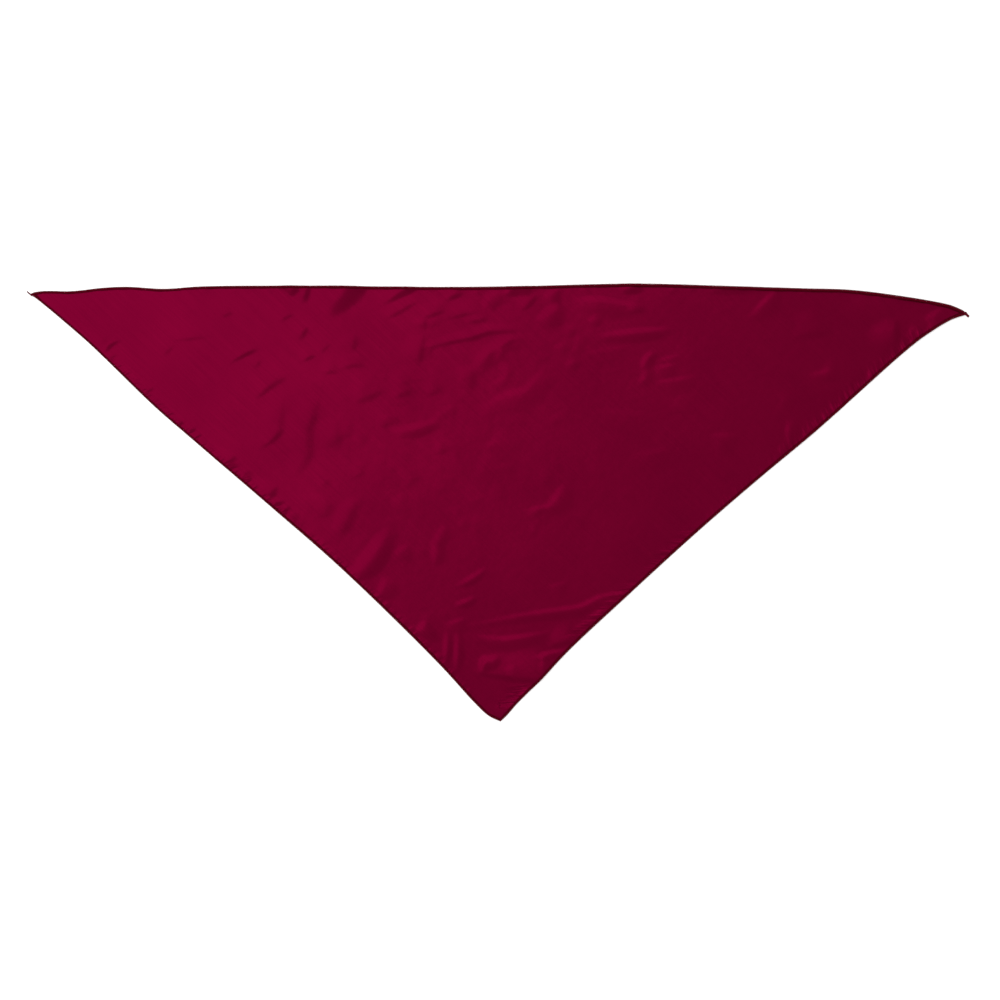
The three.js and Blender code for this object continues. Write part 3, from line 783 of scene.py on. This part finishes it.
def hem_route(cloth, k, hem):
    """The middle line of one hem in mm and how full the hem is along it."""
    edge = cloth.edges[k]
    reach = np.linspace(0, edge.length, int(edge.length / ROUTE_STEP))
    fullness = np.interp(reach / edge.length, *zip(*HEM_FULLNESS[k]))
    rng = np.random.default_rng(k)
    for swell in HEM_SWELLS:
        phase = rng.uniform(0, math.tau)
        fullness = fullness * (1 + HEM_SWELL * np.sin(math.tau * reach / swell + phase))
    middle = edge.point(reach / edge.length, hem.width / 2 * fullness)
    height = hem.height / 2 * fullness + cloth.height(*middle.T)
    return np.column_stack([middle, height]), fullness


def guide_curve(name, points, fullness):
    """A curve in metres that the row of stitches is bent along."""
    data = bpy.data.curves.new(name, "CURVE")
    data.dimensions = "3D"
    data.twist_mode = "Z_UP"
    data.use_radius = True
    spline = data.splines.new("POLY")
    spline.points.add(len(points) - 1)
    for knot, place, radius in zip(spline.points, points * MM, fullness):
        knot.co = (*place, 1)
        knot.radius = radius
    guide = bpy.data.objects.new(name, data)
    bpy.context.collection.objects.link(guide)
    return guide


def stitch_unit(name, hem, pitch):
    """One repeat of the hem along +X: a leaning wrap of thread round the rolled cloth, and
    the needle stitch on the inner side."""
    thick = hem.thread / 2 * MM
    tall = hem.height / 2 * MM
    deselect_all()
    bpy.ops.mesh.primitive_torus_add(
        major_segments=10, minor_segments=5, major_radius=tall - thick, minor_radius=thick,
        rotation=(0, math.pi / 2, 0), generate_uvs=True,
    )
    unit = bpy.context.object
    unit.name = name
    bpy.ops.object.transform_apply(location=False, rotation=True, scale=False)
    bpy.ops.object.mode_set(mode="EDIT")
    bpy.ops.mesh.select_all(action="SELECT")
    spread = (hem.width / 2 * MM - thick) / (tall - thick)
    bpy.ops.transform.resize(value=(hem.thread_flatness, spread, 1))
    bpy.ops.transform.rotate(
        value=math.radians(hem.lean), orient_axis="Z", center_override=(0, 0, 0),
    )
    bpy.ops.mesh.select_all(action="DESELECT")
    needle = (0, -(hem.width / 2 + NEEDLE_OFFSET) * MM, -NEEDLE_OFFSET * MM)
    bpy.ops.mesh.primitive_uv_sphere_add(
        segments=6, ring_count=4, radius=thick, location=needle, calc_uvs=True,
    )
    bpy.ops.transform.resize(
        value=(pitch * NEEDLE_REACH / thick, NEEDLE_FLATNESS, NEEDLE_FLATNESS), center_override=needle,
    )
    bpy.ops.mesh.select_all(action="DESELECT")
    bpy.ops.mesh.primitive_cylinder_add(
        vertices=8, radius=tall - hem.thread * CORE_DEPTH * MM, depth=pitch, end_fill_type="NOTHING",
        rotation=(0, math.pi / 2, 0),
    )
    bpy.ops.transform.resize(value=(1, spread, 1))
    bpy.ops.mesh.select_all(action="SELECT")
    bpy.ops.transform.translate(value=(pitch / 2, 0, 0))
    bpy.ops.object.mode_set(mode="OBJECT")
    return unit


def sew_hem(cloth, k, name, hem):
    """A whole hem: the stitch unit arrayed to the length of its route and bent along it."""
    points, fullness = hem_route(cloth, k, hem)
    length = np.linalg.norm(np.diff(points, axis=0), axis=1).sum() * MM
    count = round(length / (hem.pitch * MM))
    pitch = length / count
    piece = stitch_unit(name, hem, pitch)
    guide = guide_curve(name + "_route", points, fullness)
    bpy.context.view_layer.objects.active = piece
    row = piece.modifiers.new("row of stitches", "ARRAY")
    row.count = count
    row.use_relative_offset = False
    row.use_constant_offset = True
    row.constant_offset_displace = (pitch, 0, 0)
    row.use_merge_vertices = True
    row.merge_threshold = 0.00001
    bend = piece.modifiers.new("laid along the edge", "CURVE")
    bend.object = guide
    bend.deform_axis = "POS_X"
    bpy.ops.object.modifier_apply(modifier=row.name)
    bpy.ops.object.modifier_apply(modifier=bend.name)
    bpy.data.objects.remove(guide, do_unlink=True)
    bpy.ops.object.mode_set(mode="EDIT")
    bpy.ops.mesh.select_mode(type="EDGE")
    bpy.ops.mesh.select_all(action="DESELECT")
    bpy.ops.mesh.select_non_manifold()
    bpy.ops.mesh.fill_holes(sides=0)
    bpy.ops.mesh.select_all(action="SELECT")
    bpy.ops.mesh.normals_make_consistent(inside=False)
    bpy.ops.object.mode_set(mode="OBJECT")
    bpy.ops.object.shade_smooth()
    return piece


def thread_end(cloth, k, name, tail, hem):
    """A few loosely twisted strands that leave a sharp corner and lie on the surface."""
    before = cloth.edges[(k + 2) % 3]
    after = cloth.edges[k]
    away = before.direction(1) - after.direction(0)
    away /= np.linalg.norm(away)
    turn = math.radians(tail.turn)
    away = np.array([away[0] * math.cos(turn) - away[1] * math.sin(turn),
                     away[0] * math.sin(turn) + away[1] * math.cos(turn)])
    aside = np.array([-away[1], away[0]])
    corner = after.on_outline(0)
    # The strands leave the hem a third of the way up
    start_height = hem.height / 3
    strands = []
    for number in range(tail.strands):
        data = bpy.data.curves.new(f"{name}_{number}", "CURVE")
        data.dimensions = "3D"
        data.bevel_depth = tail.thread / 2 * MM
        data.bevel_resolution = 1
        data.use_fill_caps = True
        spline = data.splines.new("POLY")
        spline.points.add(STRAND_STEPS)
        reach = tail.length * (1 - tail.shortening * number)
        for step, knot in enumerate(spline.points):
            share = step / STRAND_STEPS
            angle = math.tau * (number / tail.strands + share * STRAND_TURNS)
            loose = tail.thread * (0.5 + 0.35 * share) + tail.spread * (1 - share) ** 3
            sway = tail.sway * math.sin(share * 2.6) + loose * math.cos(angle)
            place = corner + away * (reach * share - STRAND_ROOT * (1 - share)) + aside * sway
            rest = tail.thread / 2 + loose * (1 + math.sin(angle)) * 0.6
            height = rest + max(0, start_height - rest) * (1 - share) ** 3
            knot.co = (place[0] * MM, place[1] * MM, height * MM, 1)
            knot.radius = 1 - STRAND_TAPER * share
        strand = bpy.data.objects.new(data.name, data)
        bpy.context.collection.objects.link(strand)
        strands.append(strand)
    deselect_all()
    for strand in strands:
        strand.select_set(True)
    bpy.context.view_layer.objects.active = strands[0]
    bpy.ops.object.convert(target="MESH")
    bpy.ops.object.join()
    piece = bpy.context.object
    piece.name = name
    bpy.ops.object.mode_set(mode="EDIT")
    bpy.ops.mesh.select_all(action="SELECT")
    bpy.ops.mesh.remove_doubles(threshold=0.000001)
    bpy.ops.mesh.normals_make_consistent(inside=False)
    bpy.ops.uv.smart_project()
    bpy.ops.object.mode_set(mode="OBJECT")
    bpy.ops.object.shade_smooth()
    return piece


class ClothSettings(bpy.types.PropertyGroup):
    """Sizes and colours of the satin sheet."""

    divisions: IntProperty(
        name="Divisions", description="Grid steps along each edge", default=310, min=20, max=314)
    thickness: FloatProperty(
        name="Thickness", description="Thickness of the satin in mm", default=0.3, min=0.1)
    lift: FloatProperty(
        name="Lift", description="Height of the flat cloth over the surface in mm", default=0.1)
    tuck: FloatProperty(
        name="Tuck", description="How far inside the outline the sheet ends, in mm", default=1.1)
    hem_rise_width: FloatProperty(
        name="Rise width", description="Width of the strip that rises to the hem, in mm", default=9.0)
    full_colour: StringProperty(
        name="Full colour", description="Dye colour where it has taken well, sRGB hex", default="650224")
    deep_colour: StringProperty(
        name="Deep colour", description="Dye colour in the darker clouds, sRGB hex", default="5d0121")
    sheen_colour: StringProperty(
        name="Sheen colour", description="Colour of the sheen from low down, sRGB hex",
        default="ff2a60")
    sheen_share: FloatProperty(
        name="Sheen share", description="Share of the colour that is sheen", default=0.48, min=0, max=1)
    roughness: FloatProperty(
        name="Roughness", description="Spread of the sheen", default=0.34, min=0, max=1)


class HemSettings(bpy.types.PropertyGroup):
    """Sizes and colours of the overlocked rolled hem."""

    width: FloatProperty(name="Width", description="Width of the hem in mm", default=3.0)
    height: FloatProperty(name="Height", description="Height of the hem in mm", default=2.2)
    pitch: FloatProperty(name="Pitch", description="Distance between wraps in mm", default=1.2)
    thread: FloatProperty(name="Thread", description="Thickness of a wrap in mm", default=0.6)
    thread_flatness: FloatProperty(
        name="Thread flatness", description="How wide a wrap is pressed along the hem", default=1.7)
    lean: FloatProperty(name="Lean", description="Lean of the wraps in degrees", default=16)
    thread_colour: StringProperty(
        name="Thread colour", description="Colour of the thread, sRGB hex", default="34000a")
    # Painted shade laid into the grooves between the plies, also used for the darker fibre flecks
    painted_ply_shade_colour: StringProperty(
        name="Shade colour", description="Colour between the plies, sRGB hex", default="260007")


class ThreadEndSettings(bpy.types.PropertyGroup):
    """Sizes of one thread end."""

    length: FloatProperty(name="Length", description="Length in mm", default=5.6)
    turn: FloatProperty(
        name="Turn", description="Degrees from the line straight out of its corner", default=-30.0)
    sway: FloatProperty(name="Sway", description="Sideways curve in mm", default=0.4)
    thread: FloatProperty(name="Thread", description="Thickness of a strand in mm", default=0.7)
    spread: FloatProperty(
        name="Spread", description="How far the strands stand apart at the corner, in mm", default=0.7)
    strands: IntProperty(name="Strands", description="Number of strands", default=4, min=1)
    shortening: FloatProperty(
        name="Shortening", description="How much shorter each next strand is, as a share", default=0.08)


class StageSettings(bpy.types.PropertyGroup):
    """Camera, floor and studio light."""

    camera_height: FloatProperty(
        name="Camera height", description="Height of the camera over the floor", default=2.2, unit="LENGTH")
    lens: FloatProperty(name="Lens", description="Focal length in mm", default=74.0)
    fill: FloatProperty(name="Fill", description="Brightness of the room", default=0.8)
    floor_glow: FloatProperty(name="Floor glow", description="Light that the floor gives", default=0.25)
    softbox_power: FloatProperty(
        name="Softbox power", description="Power of the softbox in watts", default=45.0)
    softbox_width: FloatProperty(
        name="Softbox width", description="Width of the softbox", default=1.8, unit="LENGTH")
    softbox_length: FloatProperty(
        name="Softbox length", description="Length of the softbox", default=4.0, unit="LENGTH")
    softbox_gap: FloatProperty(
        name="Softbox gap", description="Distance from the camera to the softbox's long side",
        default=0.13, unit="LENGTH")
    softbox_turn: FloatProperty(
        name="Softbox turn", description="Direction of the softbox from the camera, from +X",
        default=math.radians(140), unit="ROTATION")


class NECKERCHIEF_OT_lay_cloth(bpy.types.Operator):
    """Lay out the satin sheet with its folds and creases"""

    bl_idname = "neckerchief.lay_cloth"
    bl_label = "Lay out the satin sheet"

    def execute(self, context):
        settings = context.scene.neckerchief_cloth
        mesh = sheet_mesh(LaidCloth(), settings)
        piece = bpy.data.objects.new("satin_cloth", mesh)
        context.collection.objects.link(piece)
        deselect_all()
        piece.select_set(True)
        context.view_layer.objects.active = piece
        bpy.ops.object.shade_smooth()
        finished_piece(piece, dyed_polyester_satin(settings), "cloth_panel")
        return {"FINISHED"}


class NECKERCHIEF_OT_sew_hems(bpy.types.Operator):
    """Sew the overlocked rolled hem along each edge"""

    bl_idname = "neckerchief.sew_hems"
    bl_label = "Sew the three hems"

    def execute(self, context):
        hem = context.scene.neckerchief_hem
        cloth = LaidCloth()
        material = spun_overlock_thread(hem)
        for k, side in enumerate(("long", "right", "left")):
            piece = sew_hem(cloth, k, f"{side}_edge_overlock", hem)
            finished_piece(piece, material, f"{side}_edge_hem")
        return {"FINISHED"}


class NECKERCHIEF_OT_leave_thread_ends(bpy.types.Operator):
    """Leave a short end of thread at each sharp corner"""

    bl_idname = "neckerchief.leave_thread_ends"
    bl_label = "Leave the thread ends"

    def execute(self, context):
        scene = context.scene
        cloth = LaidCloth()
        material = bpy.data.materials["spun overlock thread"]
        ends = {"left": scene.neckerchief_left_end, "right": scene.neckerchief_right_end}
        for k, (side, tail) in enumerate(ends.items()):
            piece = thread_end(cloth, k, f"{side}_thread_end", tail, scene.neckerchief_hem)
            finished_piece(piece, material, f"{side}_thread_tail")
        return {"FINISHED"}


class NECKERCHIEF_OT_set_stage(bpy.types.Operator):
    """Set the white floor, the softbox, the room light and the camera straight above"""

    bl_idname = "neckerchief.set_stage"
    bl_label = "Set the stage"

    def execute(self, context):
        stage = context.scene.neckerchief_stage
        deselect_all()
        bpy.ops.mesh.primitive_plane_add(size=FLOOR_WIDTH, location=(0, 0, FLOOR_HEIGHT))
        floor = context.object
        floor.name = "studio_floor"
        # White opal acrylic lit from below, so that next to no shadow shows beside the hem
        material, tree = new_material("opal acrylic floor")
        shader = add_node(tree, "BsdfPrincipled", {
            "Base Color": linear("fafafa"), "Roughness": 0.9, "Specular IOR Level": 0.1,
            "Emission Color": linear("ffffff"), "Emission Strength": stage.floor_glow,
        })
        add_node(tree, "OutputMaterial", {"Surface": shader.outputs[0]})
        floor.data.materials.append(material)

        deselect_all()
        # The softbox hangs level with the camera, up and to the left of it
        away = stage.softbox_gap + stage.softbox_width / 2
        turn = stage.softbox_turn
        bpy.ops.object.light_add(
            type="AREA", rotation=(0, 0, turn),
            location=(away * math.cos(turn), away * math.sin(turn), stage.camera_height),
        )
        softbox = context.object
        softbox.name = "softbox"
        softbox.data.shape = "RECTANGLE"
        softbox.data.size = stage.softbox_width
        softbox.data.size_y = stage.softbox_length
        softbox.data.energy = stage.softbox_power
        softbox.visible_camera = False

        world = bpy.data.worlds.new("white room")
        world.use_nodes = True
        room = world.node_tree.nodes["Background"]
        room.inputs["Color"].default_value = linear("ffffff")
        room.inputs["Strength"].default_value = stage.fill
        context.scene.world = world
        context.scene.view_settings.view_transform = "Standard"

        bpy.ops.object.camera_add(location=(*CAMERA_PLACE, stage.camera_height))
        camera = context.object
        camera.data.lens = stage.lens
        context.scene.camera = camera
        return {"FINISHED"}


class NECKERCHIEF_PT_build(bpy.types.Panel):
    """Steps that make the neckerchief, in order"""

    bl_idname = "NECKERCHIEF_PT_build"
    bl_label = "Neckerchief"
    bl_space_type = "VIEW_3D"
    bl_region_type = "UI"
    bl_category = "Neckerchief"

    def draw(self, context):
        for step in STEPS:
            self.layout.operator(step.bl_idname)


STEPS = [
    NECKERCHIEF_OT_lay_cloth,
    NECKERCHIEF_OT_sew_hems,
    NECKERCHIEF_OT_leave_thread_ends,
    NECKERCHIEF_OT_set_stage,
]
SETTINGS = {
    "neckerchief_cloth": ClothSettings,
    "neckerchief_hem": HemSettings,
    "neckerchief_left_end": ThreadEndSettings,
    "neckerchief_right_end": ThreadEndSettings,
    "neckerchief_stage": StageSettings,
}
CLASSES = [
    ClothSettings, HemSettings, ThreadEndSettings, StageSettings, *STEPS, NECKERCHIEF_PT_build,
]


def register():
    for each in CLASSES:
        bpy.utils.register_class(each)
    for name, group in SETTINGS.items():
        setattr(bpy.types.Scene, name, PointerProperty(type=group))


def unregister():
    for name in SETTINGS:
        delattr(bpy.types.Scene, name)
    for each in reversed(CLASSES):
        bpy.utils.unregister_class(each)


def main():
    register()
    for field, value in RIGHT_END.items():
        setattr(bpy.context.scene.neckerchief_right_end, field, value)
    bpy.ops.neckerchief.lay_cloth()
    bpy.ops.neckerchief.sew_hems()
    bpy.ops.neckerchief.leave_thread_ends()
    bpy.ops.neckerchief.set_stage()


if __name__ == "__main__":
    main()
